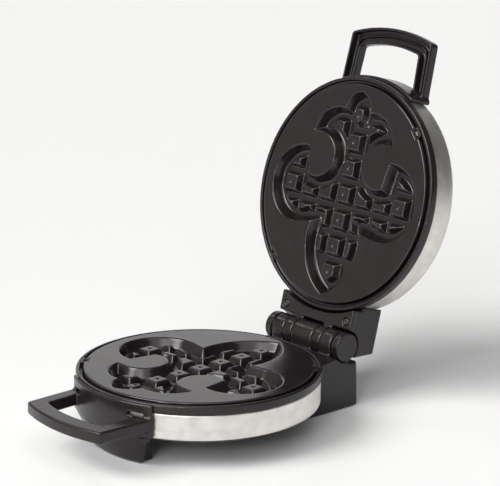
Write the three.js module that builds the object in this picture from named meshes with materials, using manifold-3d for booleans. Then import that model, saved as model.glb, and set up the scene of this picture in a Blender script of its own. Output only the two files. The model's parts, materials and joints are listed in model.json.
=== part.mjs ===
// Round electric waffle maker with a lily-shaped mould in both cooking plates.
// Units are millimetres, +Z is up, +X is the object's right, -Y is the handle side.
// The lower housing stands on a front foot and a rear hinge block. The lid is modelled closed,
// inside a group that turns it open about the hinge pin.

import * as THREE from 'three';
import { mergeVertices } from 'three/addons/utils/BufferGeometryUtils.js';
import Module from 'manifold-3d';

const wasm = await Module();
wasm.setup();

// ---------------------------------------------------------------- driving dimensions

const GAP = 0.3;                    // play left between neighbouring pieces
const ROUND = 48;                   // sides on every large round piece

const DECK_Z = 62.7;                // height of the lower bezel's top face above the table
const LID_GAP = 2.5;                // between the two bezels when the lid is shut
const OPEN_ANGLE = THREE.MathUtils.degToRad(104.65);

const BEZEL_R = 115;
const BEZEL_BORE_R = 108.2;
const BEZEL_HEIGHT = 9;
const BAND_R = 113.5;
const BAND_WALL = 1;
const BAND_HEIGHT = 23.4;           // lid and base steel bands alike
const COVER_WALL = 2;
const FOOT_GAP_Z = 0.8;             // hard plastic stops this far above the table

const PLATE_R = 107.7;
const PLATE_PROUD = 1;              // cooking face above its bezel
const PLATE_SKIN = 3.2;
const CAVITY_DEPTH = 10;
const WALL_DRAFT = 0.5;             // inward run of the mould's wall per unit of depth
const PEG_PITCH_X = 24.8;
const PEG_PITCH_Y = 25.8;
const PEG_ROW_SHIFT = 1;            // of every row towards the hinge, from the plate's middle
const LEAF_PEG_Y = -62.5;           // the one peg in each tail leaf stands between two rows
const PEG_BASE = 20.2;
const PEG_TOP = 14.2;
const PEG_HEIGHT = 7;
const PEG_VALLEY = 4.8;             // between the foot of the mould's wall and the pegs
const PEG_LEAST_VOLUME = 90;        // smaller scraps of a cut peg are left out
const SIDE_PER_RADIUS = 4.5;         // fewer sides on the lily's smaller circles

const HINGE_Y = 143;
const HINGE_Z = DECK_Z - 0.4;
const BARREL_R = 14;
const BARREL_HALF = 41;             // half the length of the hinge barrel
const ARM_INNER_X = 14;             // lid arms run between these two distances from the middle
const ARM_OUTER_X = 26;
const PIN_R = 4;
const PIN_HALF = 47;
const CAP_OUTER_X = 51;
const BLOCK_HALF = 50;              // half width of the hinge block and of the lid's bracket
const BLOCK_WALL = 3;
const BRACKET_BORE_R = 16.2;        // clearance round the barrel cut into the lid's bracket

const HANDLE_OUTER_R = 167.2;       // both handles are arcs about the plate's centre
const HANDLE_INNER_R = 150.2;
const HANDLE_THICK = 11.2;
const HANDLE_RIM = 2.6;
const HANDLE_CHANNEL = 8;           // depth of the channel in the handle's underside
const HANDLE_TOP_Z = DECK_Z - 13.7;
const LID_HANDLE_TOP_Z = DECK_Z + 37.7;
const SHROUD_R = 118;
const SHROUD_HALF_ANGLE = THREE.MathUtils.degToRad(29);

// ---------------------------------------------------------------- solids and booleans

// Gives a geometry shared corners, no empty triangles, and faces that point out.
function closed(geometry) {
  const bare = geometry.clone();
  bare.deleteAttribute('normal');
  bare.deleteAttribute('uv');
  const merged = mergeVertices(bare, 1e-4);
  const position = merged.getAttribute('position');
  const a = new THREE.Vector3();
  const b = new THREE.Vector3();
  const c = new THREE.Vector3();
  const kept = [];
  let volume = 0;
  for (let i = 0; i < merged.index.count; i += 3) {
    const corner = [0, 1, 2].map((k) => merged.index.getX(i + k));
    if (new Set(corner).size < 3) continue;
    kept.push(corner);
    a.fromBufferAttribute(position, corner[0]);
    b.fromBufferAttribute(position, corner[1]);
    c.fromBufferAttribute(position, corner[2]);
    volume += a.dot(b.cross(c));
  }
  const facing = volume < 0 ? kept.map((corner) => corner.reverse()) : kept;
  merged.setIndex(facing.flat());
  return merged;
}

function solid(geometry) {
  const mesh = closed(geometry);
  const vertProperties = new Float32Array(mesh.getAttribute('position').array);
  const triVerts = new Uint32Array(mesh.index.array);
  return new wasm.Manifold(new wasm.Mesh({ numProp: 3, vertProperties, triVerts }));
}

function geometryOf(manifold) {
  const mesh = manifold.getMesh();
  const geometry = new THREE.BufferGeometry();
  const position = new Float32Array(mesh.vertProperties);
  geometry.setAttribute('position', new THREE.BufferAttribute(position, 3));
  geometry.setIndex(Array.from(mesh.triVerts));
  return geometry;
}

const joined = (pieces) => pieces.reduce((sum, piece) => sum.add(piece));
const cutBy = (body, tools) => tools.reduce((rest, tool) => rest.subtract(tool), body);

// A turned ring or disc: its profile lists [radius, height] corners.
function turned(profile, sides = ROUND) {
  const corners = profile.map(([r, z]) => new THREE.Vector2(r, z));
  const onAxis = profile[0][0] === 0;
  if (!onAxis) corners.push(corners[0].clone());
  return new THREE.LatheGeometry(corners, sides).rotateX(Math.PI / 2);
}

// A cylinder or cone about a vertical axis at (x, y).
function cone(x, y, rLow, zLow, rHigh, zHigh, sides = ROUND) {
  const geometry = new THREE.CylinderGeometry(rHigh, rLow, zHigh - zLow, sides);
  geometry.rotateX(Math.PI / 2);
  geometry.translate(x, y, (zLow + zHigh) / 2);
  return solid(geometry);
}

const post = (x, y, r, zLow, zHigh, sides) => cone(x, y, r, zLow, r, zHigh, sides);

// A cylinder along X about the point (y, z).
function rod(y, z, r, xLow, xHigh, sides = 32) {
  const geometry = new THREE.CylinderGeometry(r, r, xHigh - xLow, sides);
  geometry.rotateZ(-Math.PI / 2);
  geometry.translate((xLow + xHigh) / 2, y, z);
  return solid(geometry);
}

function block(xLow, xHigh, yLow, yHigh, zLow, zHigh) {
  const geometry = new THREE.BoxGeometry(xHigh - xLow, yHigh - yLow, zHigh - zLow);
  geometry.translate((xLow + xHigh) / 2, (yLow + yHigh) / 2, (zLow + zHigh) / 2);
  return solid(geometry);
}

// A flat outline in X and Y, pulled up from zLow to zHigh.
function slab(shape, zLow, zHigh, curveSegments = 16) {
  const options = { depth: zHigh - zLow, bevelEnabled: false, curveSegments };
  return solid(new THREE.ExtrudeGeometry(shape, options).translate(0, 0, zLow));
}

// A side outline of [y, z] corners, pulled across from xLow to xHigh.
function profileAcross(corners, xLow, xHigh) {
  const shape = new THREE.Shape(corners.map(([y, z]) => new THREE.Vector2(y, z)));
  const geometry = new THREE.ExtrudeGeometry(shape, { depth: xHigh - xLow, bevelEnabled: false });
  const yAxis = new THREE.Vector3(0, 1, 0);
  const zAxis = new THREE.Vector3(0, 0, 1);
  const xAxis = new THREE.Vector3(1, 0, 0);
  geometry.applyMatrix4(new THREE.Matrix4().makeBasis(yAxis, zAxis, xAxis));
  return solid(geometry.translate(xLow, 0, 0));
}

// ---------------------------------------------------------------- scene graph

const group = new THREE.Group();
const base = new THREE.Group();
const lidPivot = new THREE.Group();
const lid = new THREE.Group();

lidPivot.position.set(0, HINGE_Y, HINGE_Z);
lidPivot.rotation.x = -OPEN_ANGLE;
lid.position.set(0, -HINGE_Y, -HINGE_Z);
lidPivot.add(lid);
group.add(base, lidPivot);

const FINISHES = {
  satinBlack: { color: 0x2b2a2b, roughness: 0.42, metalness: 0 },
  nonStick: { color: 0x3b393a, roughness: 0.38, metalness: 0.25 },
  brushedSteel: { color: 0xc9c6c2, roughness: 0.3, metalness: 1 },
  bareSteel: { color: 0x9a9a9c, roughness: 0.45, metalness: 1 },
  tinPlate: { color: 0xb4b6b8, roughness: 0.35, metalness: 1 },
  rubber: { color: 0x1b1b1c, roughness: 0.85, metalness: 0 },
  ceramic: { color: 0xe6e0d2, roughness: 0.6, metalness: 0 },
  redLens: { color: 0xb3261e, roughness: 0.15, metalness: 0 },
  greenLens: { color: 0x2e8b3d, roughness: 0.15, metalness: 0 },
};

function add(parent, name, geometry, finish) {
  const mesh = new THREE.Mesh(closed(geometry), new THREE.MeshStandardMaterial(FINISHES[finish]));
  mesh.name = name;
  parent.add(mesh);
}

const addSolid = (parent, name, manifold, finish) => add(parent, name, geometryOf(manifold), finish);

// ---------------------------------------------------------------- lily mould

// The lily's outline is put together from circles and straight edges, given for its right half.
// Height 0 is the cooking face. insetAt(z) says how far the outline has moved inward at z.
const LILY = {
  petal: { x: 23.3, y: 47, r: 58.8 },
  sidePetal: { x: 59, y: -0.4, r: 38.2 },
  shoulder: [[52.4, 37.2], [-15, 25.4], [-15, -20], [56, -20], [59, -0.4]],
  shoulderWalls: [true, false, false, false, false],
  stem: { halfWidth: 23, yLow: -70, yHigh: 20 },
  tailLeaf: { x: 22.5, y: -51.5, r: 30.7 },
  tail: { x: 5, y: -79, r: 22.5 },
  island: { x: 41.5, y: -32.5, r: 22.3 },
  islandSide: [[47.7, 5], [58.87, -64], [10, -64], [10, 5]],
  islandSideWalls: [true, false, false, false],
  islandLand: [[50.5, -12.3], [57.35, -54.6], [41.5, -54.6], [41.5, -12.3]],
  islandWalls: [true, true, false, false],
};

function mirrored(corners, side) {
  return corners.map(([x, y]) => new THREE.Vector2(side * x, y));
}

// Moves the marked edges of a convex polygon inward and returns its new corners.
function movedEdges(corners, walls, distance) {
  const turn = Math.sign(THREE.ShapeUtils.area(corners));
  const lines = corners.map((start, i) => {
    const end = corners[(i + 1) % corners.length];
    const along = end.clone().sub(start).normalize();
    const inward = new THREE.Vector2(-along.y, along.x).multiplyScalar(turn);
    const shift = walls[i] ? distance : 0;
    return { point: start.clone().addScaledVector(inward, shift), along };
  });
  return lines.map((line, i) => {
    const last = lines[(i + lines.length - 1) % lines.length];
    const between = line.point.clone().sub(last.point);
    const run = between.cross(line.along) / last.along.cross(line.along);
    return last.point.clone().addScaledVector(last.along, run);
  });
}

// A prism between two loops of the same number of corners.
function loft(lowLoop, zLow, highLoop, zHigh) {
  const count = lowLoop.length;
  const position = [];
  for (const point of lowLoop) position.push(point.x, point.y, zLow);
  for (const point of highLoop) position.push(point.x, point.y, zHigh);
  const index = [];
  for (let i = 1; i < count - 1; i += 1) {
    index.push(0, i + 1, i);
    index.push(count, count + i, count + i + 1);
  }
  for (let i = 0; i < count; i += 1) {
    const next = (i + 1) % count;
    index.push(i, next, count + next);
    index.push(i, count + next, count + i);
  }
  const geometry = new THREE.BufferGeometry();
  geometry.setAttribute('position', new THREE.Float32BufferAttribute(position, 3));
  geometry.setIndex(index);
  return solid(geometry);
}

function lily(insetAt, zLow, zHigh) {
  const overshoot = 1;
  const sidesFor = (r) => 4 * Math.round(r / SIDE_PER_RADIUS);
  const disc = ({ y, r }, x) => {
    return cone(x, y, r - insetAt(zLow), zLow, r - insetAt(zHigh), zHigh, sidesFor(r));
  };
  const hole = ({ y, r }, x) => {
    const low = zLow - overshoot;
    const high = zHigh + overshoot;
    return cone(x, y, r + insetAt(low), low, r + insetAt(high), high, sidesFor(r));
  };
  const prism = (corners, walls, low, high, sense) => {
    const lowLoop = movedEdges(corners, walls, sense * insetAt(low));
    const highLoop = movedEdges(corners, walls, sense * insetAt(high));
    return loft(lowLoop, low, highLoop, high);
  };
  const { petal, sidePetal, stem, tailLeaf, tail, island } = LILY;
  const filled = [
    disc(petal, petal.x).intersect(disc(petal, -petal.x)),
    disc(tail, tail.x).intersect(disc(tail, -tail.x)),
    block(-stem.halfWidth, stem.halfWidth, stem.yLow, stem.yHigh, zLow, zHigh),
  ];
  const left = [];
  for (const side of [-1, 1]) {
    filled.push(disc(sidePetal, side * sidePetal.x));
    filled.push(disc(tailLeaf, side * tailLeaf.x));
    const shoulder = mirrored(LILY.shoulder, side);
    filled.push(prism(shoulder, LILY.shoulderWalls, zLow, zHigh, 1));
    const wall = mirrored(LILY.islandSide, side);
    const inside = prism(wall, LILY.islandSideWalls, zLow - overshoot, zHigh + overshoot, -1);
    left.push(hole(island, side * island.x).intersect(inside));
    const land = mirrored(LILY.islandLand, side);
    left.push(prism(land, LILY.islandWalls, zLow - overshoot, zHigh + overshoot, -1));
  }
  return cutBy(joined(filled), left);
}

function peg(x, y) {
  const zLow = -CAVITY_DEPTH - 0.4;
  const zHigh = PEG_HEIGHT - CAVITY_DEPTH;
  const geometry = new THREE.CylinderGeometry(
    PEG_TOP / Math.SQRT2,
    PEG_BASE / Math.SQRT2,
    zHigh - zLow,
    4,
  );
  geometry.rotateY(Math.PI / 4);
  geometry.rotateX(Math.PI / 2);
  geometry.translate(x, y, (zLow + zHigh) / 2);
  return solid(geometry);
}

function lilyPegs() {
  const wallFoot = WALL_DRAFT * CAVITY_DEPTH;
  const insetAt = (z) => wallFoot + PEG_VALLEY + WALL_DRAFT * (z + CAVITY_DEPTH);
  const ground = lily(insetAt, -CAVITY_DEPTH - 1, 0);
  const reach = 4;
  const pegs = [];
  const place = (x, y) => {
    const piece = peg(x, y).intersect(ground);
    if (piece.volume() > PEG_LEAST_VOLUME) pegs.push(piece);
  };
  for (let i = -reach; i <= reach; i += 1) {
    for (let j = -reach; j <= reach; j += 1) {
      const inLeaf = Math.abs(i) === 1 && j < -1;
      if (!inLeaf) place(i * PEG_PITCH_X, j * PEG_PITCH_Y + PEG_ROW_SHIFT);
    }
  }
  place(-PEG_PITCH_X, LEAF_PEG_Y);
  place(PEG_PITCH_X, LEAF_PEG_Y);
  return joined(pegs);
}

const CLIP_ANGLES = [THREE.MathUtils.degToRad(45), THREE.MathUtils.degToRad(222)];
const CLIP = { rInner: 104.6, rOuter: 111.2, width: 11, depth: 3.2 };

// A block at a plate clip's place: grown by `play` on its sides and by `deeper` below.
function clipBlock(angle, zFace, play, deeper) {
  const geometry = new THREE.BoxGeometry(
    CLIP.rOuter - CLIP.rInner + 2 * play,
    CLIP.width + 2 * play,
    CLIP.depth + deeper,
  );
  geometry.translate((CLIP.rInner + CLIP.rOuter) / 2, 0, zFace - (CLIP.depth + deeper) / 2);
  geometry.rotateZ(angle);
  return geometry;
}

// Cooking plate with its face at height 0 and its mould below.
function cookingPlate() {
  const backOutset = (z) => -2.4 + WALL_DRAFT * -z;
  const backing = lily(backOutset, -CAVITY_DEPTH - 3, -PLATE_SKIN + 0.4);
  const flange = solid(turned([
    [0, -PLATE_SKIN],
    [PLATE_R - 3, -PLATE_SKIN],
    [PLATE_R - 3, -7.5],
    [PLATE_R, -7.5],
    [PLATE_R, -1],
    [PLATE_R - 1, 0],
    [0, 0],
  ]));
  const cavity = lily((z) => WALL_DRAFT * -z, -CAVITY_DEPTH, 1);
  const notches = CLIP_ANGLES.map((angle) => solid(clipBlock(angle, 1, GAP, 1.8)));
  const shell = cutBy(flange.add(backing), [cavity, ...notches]);
  return geometryOf(shell.add(lilyPegs()));
}

const plateGeometry = cookingPlate();
const LOWER_FACE_Z = DECK_Z + PLATE_PROUD;
const LID_Z = DECK_Z + LID_GAP;
const LID_FACE_Z = LID_Z - PLATE_PROUD;

add(base, 'lower_plate', plateGeometry.clone().translate(0, 0, LOWER_FACE_Z), 'nonStick');
const lidPlateGeometry = plateGeometry.clone().rotateY(Math.PI).translate(0, 0, LID_FACE_Z);
add(lid, 'lid_plate', lidPlateGeometry, 'nonStick');

// ---------------------------------------------------------------- housings

// The lid's shells are the base's, turned over about the middle of the joint between them.
const turnedOver = (profile) => profile.map(([r, z]) => [r, DECK_Z + LID_Z - z]);

const bezelProfile = [
  [BEZEL_BORE_R, DECK_Z - BEZEL_HEIGHT],
  [BEZEL_R, DECK_Z - BEZEL_HEIGHT],
  [BEZEL_R, DECK_Z - 1],
  [BEZEL_R - 1, DECK_Z],
  [111, DECK_Z],
  [110.4, DECK_Z - 0.8],
  [BEZEL_BORE_R, DECK_Z - 0.8],
];

function bezel(profile, mirror) {
  const notches = CLIP_ANGLES.map((angle) => {
    const tool = clipBlock(angle, DECK_Z + 1.5, GAP, 1.8);
    if (mirror) {
      tool.rotateY(Math.PI);
      tool.translate(0, 0, DECK_Z + LID_Z);
    }
    return solid(tool);
  });
  return cutBy(solid(turned(profile)), notches);
}

addSolid(base, 'lower_bezel', bezel(bezelProfile, false), 'satinBlack');
addSolid(lid, 'lid_bezel', bezel(turnedOver(bezelProfile), true), 'satinBlack');

const bandTopZ = DECK_Z - BEZEL_HEIGHT - GAP;
const bandLowZ = bandTopZ - BAND_HEIGHT;
const bandProfile = [
  [BAND_R - BAND_WALL, bandTopZ],
  [BAND_R - BAND_WALL, bandLowZ],
  [BAND_R - 0.6, bandLowZ],
  [BAND_R, bandLowZ + 2],
  [BAND_R, bandTopZ],
];
add(base, 'lower_steel_band', turned(bandProfile), 'brushedSteel');
add(lid, 'lid_steel_band', turned(turnedOver(bandProfile)), 'brushedSteel');

const coverR = BAND_R - BAND_WALL - GAP;
const coverTopZ = bandTopZ - 2;
const baseFloorZ = bandLowZ - 6;
const baseCoverProfile = [
  [0, baseFloorZ],
  [97, baseFloorZ],
  [107.5, baseFloorZ + 2.5],
  [coverR, bandLowZ],
  [coverR, coverTopZ],
  [coverR - COVER_WALL, coverTopZ],
  [coverR - COVER_WALL, bandLowZ],
  [97, baseFloorZ + COVER_WALL],
  [0, baseFloorZ + COVER_WALL],
];
add(base, 'base_cover', turned(baseCoverProfile), 'satinBlack');

const lidBandTopZ = DECK_Z + LID_Z - bandLowZ;
const LID_CROWN_Z = lidBandTopZ + 8;
const LAMP_Y = -82;
const LAMP_X = 13;
const LAMP_R = 4.2;
const lidCoverProfile = [
  [0, LID_CROWN_Z],
  [60, LID_CROWN_Z - 1],
  [92, LID_CROWN_Z - 2.6],
  [108, LID_CROWN_Z - 5],
  [112.6, lidBandTopZ + GAP + 0.6],
  [112.6, lidBandTopZ + GAP],
  [coverR, lidBandTopZ + GAP],
  [coverR, lidBandTopZ - 18],
  [coverR - COVER_WALL, lidBandTopZ - 18],
  [coverR - COVER_WALL, lidBandTopZ],
  [92, LID_CROWN_Z - 5],
  [0, LID_CROWN_Z - 2.4],
];

function lampTools(grow, zLow, zHigh) {
  return [-1, 1].map((side) => post(side * LAMP_X, LAMP_Y, LAMP_R + grow, zLow, zHigh, 20));
}

const lampFaceZ = LID_CROWN_Z - 1.4;
const lidCover = cutBy(solid(turned(lidCoverProfile)), lampTools(GAP, LID_CROWN_Z - 9, LID_CROWN_Z));
addSolid(lid, 'lid_cover', lidCover, 'satinBlack');
const [powerLens, readyLens] = lampTools(0, lampFaceZ - 4, lampFaceZ + 0.4);
addSolid(lid, 'power_lamp_lens', powerLens, 'redLens');
addSolid(lid, 'ready_lamp_lens', readyLens, 'greenLens');

// ---------------------------------------------------------------- plate clips

CLIP_ANGLES.forEach((angle, i) => {
  const place = i === 0 ? 'rear' : 'front';
  const lower = clipBlock(angle, DECK_Z + 0.4, 0, 0);
  add(base, `lower_clip_${place}`, lower, 'satinBlack');
  const upper = clipBlock(angle, DECK_Z + 0.4, 0, 0).rotateY(Math.PI);
  add(lid, `lid_clip_${place}`, upper.translate(0, 0, DECK_Z + LID_Z), 'satinBlack');
});

// ---------------------------------------------------------------- heating parts

const ELEMENT_R = 3.2;
const ELEMENT_LOOP_R = 70;
const ELEMENT_DROP = CAVITY_DEPTH + 3 + GAP + ELEMENT_R;

// A tubular element: a loop open at the hinge side with both ends running back to the hinge.
function heatingElement(z) {
  const half = THREE.MathUtils.degToRad(18);
  const path = new THREE.CurvePath();
  const loop = [];
  const stepCount = 30;
  for (let i = 0; i <= stepCount; i += 1) {
    const angle = Math.PI / 2 + half + (i / stepCount) * 2 * (Math.PI - half);
    const x = ELEMENT_LOOP_R * Math.cos(angle);
    const y = ELEMENT_LOOP_R * Math.sin(angle);
    loop.push(new THREE.Vector3(x, y, z));
  }
  const tailX = loop[0].x;
  loop.unshift(new THREE.Vector3(tailX, 84, z), new THREE.Vector3(tailX, 76, z));
  loop.push(new THREE.Vector3(-tailX, 76, z), new THREE.Vector3(-tailX, 84, z));
  path.add(new THREE.CatmullRomCurve3(loop));
  const section = new THREE.Shape().absarc(0, 0, ELEMENT_R, 0, 2 * Math.PI);
  return new THREE.ExtrudeGeometry(section, {
    extrudePath: path,
    steps: 44,
    curveSegments: 4,
    bevelEnabled: false,
  });
}

const lowerElementZ = LOWER_FACE_Z - ELEMENT_DROP;
add(base, 'lower_heating_element', heatingElement(lowerElementZ), 'bareSteel');
add(lid, 'lid_heating_element', heatingElement(LID_FACE_Z + ELEMENT_DROP), 'bareSteel');

const reflectorZ = lowerElementZ - ELEMENT_R - 3;
const reflectorProfile = [
  [0, reflectorZ - 1],
  [92, reflectorZ - 1],
  [103, reflectorZ + 7],
  [103, reflectorZ + 8],
  [91.6, reflectorZ],
  [0, reflectorZ],
];
add(base, 'lower_reflector', turned(reflectorProfile, 32), 'tinPlate');
add(lid, 'lid_reflector', turned(turnedOver(reflectorProfile), 32), 'tinPlate');

const plateBackZ = LOWER_FACE_Z - CAVITY_DEPTH - 3 - GAP;
addSolid(base, 'thermostat', post(0, 22, 8, plateBackZ - 7, plateBackZ, 20), 'bareSteel');
addSolid(base, 'thermal_fuse', rod(-30, plateBackZ - 2.6, 2.4, -9, 9, 12), 'bareSteel');

// ---------------------------------------------------------------- handles and shrouds

// Outline of a handle seen from above: two arms and a curved bar, moved inward by `inset`.
function handleShape(inset, rootR) {
  const outerTip = 53.8 - inset;
  const outerRoot = 55.8 - inset;
  const innerTip = 39 + inset;
  const innerRoot = 41 + inset;
  const outerR = HANDLE_OUTER_R - inset;
  const innerR = HANDLE_INNER_R + inset;
  const onArc = (x, r) => -Math.sqrt(r * r - x * x);
  const shape = new THREE.Shape();
  const outerAngle = Math.asin(outerTip / outerR);
  const innerAngle = Math.asin(innerTip / innerR);
  const down = -Math.PI / 2;
  shape.moveTo(-outerRoot, onArc(outerRoot, rootR));
  shape.lineTo(-outerTip, onArc(outerTip, outerR));
  shape.absarc(0, 0, outerR, down - outerAngle, down + outerAngle, false);
  shape.lineTo(outerRoot, onArc(outerRoot, rootR));
  shape.lineTo(innerRoot, onArc(innerRoot, rootR));
  shape.lineTo(innerTip, onArc(innerTip, innerR));
  shape.absarc(0, 0, innerR, down + innerAngle, down - innerAngle, true);
  shape.lineTo(-innerRoot, onArc(innerRoot, rootR));
  return shape;
}

// A curved plate round the front of the housing, between two radii and two heights.
function shroudPlate(rInner, rOuter, zLow, zHigh) {
  const down = -Math.PI / 2;
  const shape = new THREE.Shape();
  shape.absarc(0, 0, rOuter, down - SHROUD_HALF_ANGLE, down + SHROUD_HALF_ANGLE, false);
  shape.absarc(0, 0, rInner, down + SHROUD_HALF_ANGLE, down - SHROUD_HALF_ANGLE, true);
  return slab(shape, zLow, zHigh, 14);
}

// Straight-sided round tool that frees a front piece from band and bezel alike.
const bandTool = (zLow, zHigh) => post(0, 0, BAND_R + GAP + 0.2, zLow, zHigh);
const bezelTool = (zLow, zHigh) => post(0, 0, BEZEL_R + GAP + 0.2, zLow, zHigh);

function handle(topZ, shroudLowZ, shroudHighZ, tools) {
  const lowZ = topZ - HANDLE_THICK;
  const loop = slab(handleShape(0, SHROUD_R - 2), lowZ, topZ, 10);
  const channel = slab(handleShape(HANDLE_RIM, SHROUD_R + 1.5), lowZ - 1, lowZ + HANDLE_CHANNEL, 10);
  const shroud = shroudPlate(BAND_R - 1, SHROUD_R, shroudLowZ, shroudHighZ);
  return cutBy(loop.add(shroud), [channel, ...tools]);
}

const lowerShroudTopZ = DECK_Z - 0.8;
const lowerHandle = handle(HANDLE_TOP_Z, bandLowZ + 0.3, lowerShroudTopZ, [
  bandTool(0, DECK_Z),
  bezelTool(DECK_Z - BEZEL_HEIGHT - GAP, DECK_Z + 1),
]);
addSolid(base, 'lower_handle', lowerHandle, 'satinBlack');

const lidShroudLowZ = LID_Z + BEZEL_HEIGHT + GAP;
const lidHandle = handle(LID_HANDLE_TOP_Z, lidShroudLowZ, LID_HANDLE_TOP_Z + 0.8, [
  bandTool(DECK_Z, DECK_Z + 60),
]);
addSolid(lid, 'lid_handle', lidHandle, 'satinBlack');

// ---------------------------------------------------------------- front foot

const FOOT_TOP_Z = bandLowZ;
const FOOT_TOP_R = 117;
const FOOT_TOE_R = 105;
const FOOT_WALL = 4;

function frontFoot() {
  const outer = cone(0, 0, FOOT_TOE_R, FOOT_GAP_Z, FOOT_TOP_R, FOOT_TOP_Z);
  const slope = (FOOT_TOP_R - FOOT_TOE_R) / (FOOT_TOP_Z - FOOT_GAP_Z);
  const toolR = (z) => FOOT_TOE_R - FOOT_WALL + slope * (z - FOOT_GAP_Z);
  const inner = cone(0, 0, toolR(-1), -1, toolR(FOOT_TOP_Z + 1), FOOT_TOP_Z + 1);
  const frontView = new THREE.Shape([
    new THREE.Vector2(-35.7, 0),
    new THREE.Vector2(35.7, 0),
    new THREE.Vector2(46.2, 23),
    new THREE.Vector2(55, FOOT_TOP_Z + 1),
    new THREE.Vector2(-55, FOOT_TOP_Z + 1),
    new THREE.Vector2(-46.2, 23),
  ]);
  const window = new THREE.ExtrudeGeometry(frontView, { depth: 80, bevelEnabled: false });
  window.rotateX(Math.PI / 2);
  window.translate(0, -50, 0);
  const skirt = outer.subtract(inner).intersect(solid(window));
  const seatZ = baseFloorZ - GAP;
  const shelf = block(-34, 34, -108, -84, seatZ - 3, seatZ).intersect(outer);
  const sole = block(-34, 34, -101, -84, FOOT_GAP_Z, FOOT_GAP_Z + 5).intersect(outer);
  const web = block(-2, 2, -106, -84, FOOT_GAP_Z, seatZ).intersect(outer);
  const ends = [-1, 1].map((side) => {
    const x = side * 32.5;
    return block(x - 1.5, x + 1.5, -101, -84, FOOT_GAP_Z, seatZ).intersect(outer);
  });
  const whole = joined([skirt, shelf, sole, web, ...ends]);
  const coverCone = cone(0, 0, 97 + GAP, seatZ, coverR + GAP + 0.4, bandLowZ - 0.4);
  const pads = [-1, 1].map((side) => post(side * 24, -92, 5.3, 0, 3.3, 20));
  return cutBy(whole, [coverCone, bandTool(bandLowZ - 0.5, DECK_Z), ...pads]);
}

addSolid(base, 'front_foot', frontFoot(), 'satinBlack');

// ---------------------------------------------------------------- hinge block

const BLOCK_REAR_Y = 160;
const blockShoulderZ = DECK_Z - 17;
const slopeFrontZ = DECK_Z - 11.3;
const barrelFrontY = HINGE_Y - BARREL_R;
const slopeRearZ = DECK_Z - 8.1;
const webRearY = 147.6;
const blockProfile = [
  [92, FOOT_GAP_Z],
  [95.5, 3],
  [99, 8],
  [101, 16],
  [101, slopeFrontZ],
  [barrelFrontY, slopeRearZ],
  [webRearY, blockShoulderZ],
  [BLOCK_REAR_Y - 2, blockShoulderZ],
  [BLOCK_REAR_Y, FOOT_GAP_Z],
];
const webProfile = [
  [barrelFrontY, blockShoulderZ],
  [barrelFrontY, HINGE_Z],
  [HINGE_Y, HINGE_Z],
  [webRearY, HINGE_Z - 13],
  [webRearY, blockShoulderZ],
];
const armSlots = [-1, 1].map((side) => {
  const [xLow, xHigh] = [side * ARM_INNER_X, side * ARM_OUTER_X].sort((a, b) => a - b);
  return rod(HINGE_Y, HINGE_Z, BARREL_R + 1, xLow, xHigh);
});
const PAD_REAR = { x: 40, y: 150 };
const GLAND = { x: 0, y: BLOCK_REAR_Y, z: 18, r: 5.5 };
const blockInner = {
  half: BLOCK_HALF - BLOCK_WALL,
  yLow: 104,
  yHigh: BLOCK_REAR_Y - 2 - BLOCK_WALL,
  zHigh: blockShoulderZ - BLOCK_WALL,
};
const PLATE_THICK = 2.5;
const hollowLow = FOOT_GAP_Z + PLATE_THICK + GAP;

function glandHole(grow) {
  const geometry = new THREE.CylinderGeometry(GLAND.r + grow, GLAND.r + grow, 16, 20);
  return solid(geometry.translate(GLAND.x, GLAND.y - 4, GLAND.z));
}

function hingeBlock() {
  const lower = profileAcross(blockProfile, -BLOCK_HALF, BLOCK_HALF);
  const web = profileAcross(webProfile, -BARREL_HALF, BARREL_HALF);
  const barrel = rod(HINGE_Y, HINGE_Z, BARREL_R, -BARREL_HALF, BARREL_HALF);
  const stop = block(-38, 38, 153, 157.4, blockShoulderZ - 1, HINGE_Z - 14.4);
  const capSeats = [-1, 1].map((side) => {
    const [xLow, xHigh] = [side * BARREL_HALF, side * (BLOCK_HALF + 2)].sort((a, b) => a - b);
    return rod(HINGE_Y, HINGE_Z, BARREL_R + 0.5, xLow, xHigh);
  });
  const pinHole = rod(HINGE_Y, HINGE_Z, PIN_R + GAP, -60, 60, 20);
  const { half, yLow, yHigh, zHigh } = blockInner;
  const hollow = block(-half, half, yLow, yHigh, -1, zHigh);
  const bodyTool = post(0, 0, BAND_R + 0.6, baseFloorZ - 0.4, DECK_Z + 1);
  const tools = [...capSeats, ...armSlots, pinHole, hollow, bodyTool, glandHole(GAP)];
  return cutBy(joined([lower, web, barrel, stop]), tools);
}

addSolid(base, 'hinge_block', hingeBlock(), 'satinBlack');

function blockBasePlate() {
  const { half, yLow, yHigh } = blockInner;
  const plate = block(
    -half + GAP, half - GAP, yLow + GAP, yHigh - GAP, FOOT_GAP_Z, FOOT_GAP_Z + PLATE_THICK,
  );
  const pads = [-1, 1].map((side) => post(side * PAD_REAR.x, PAD_REAR.y - 4, 5.3, 0, 2, 20));
  return cutBy(plate, pads);
}

addSolid(base, 'block_base_plate', blockBasePlate(), 'satinBlack');
const terminals = block(-14, 14, 124, 134, hollowLow, hollowLow + 14);
addSolid(base, 'terminal_block', terminals, 'ceramic');

function cordGland() {
  const sleeve = new THREE.LatheGeometry([
    new THREE.Vector2(3.4, -7),
    new THREE.Vector2(GLAND.r, -7),
    new THREE.Vector2(GLAND.r, 0.9),
    new THREE.Vector2(GLAND.r + 1.8, 0.9),
    new THREE.Vector2(GLAND.r + 1.8, 2.4),
    new THREE.Vector2(3.4, 2.4),
    new THREE.Vector2(3.4, -7),
  ], 20);
  return sleeve.translate(GLAND.x, GLAND.y, GLAND.z);
}

add(base, 'cord_gland', cordGland(), 'rubber');

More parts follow.
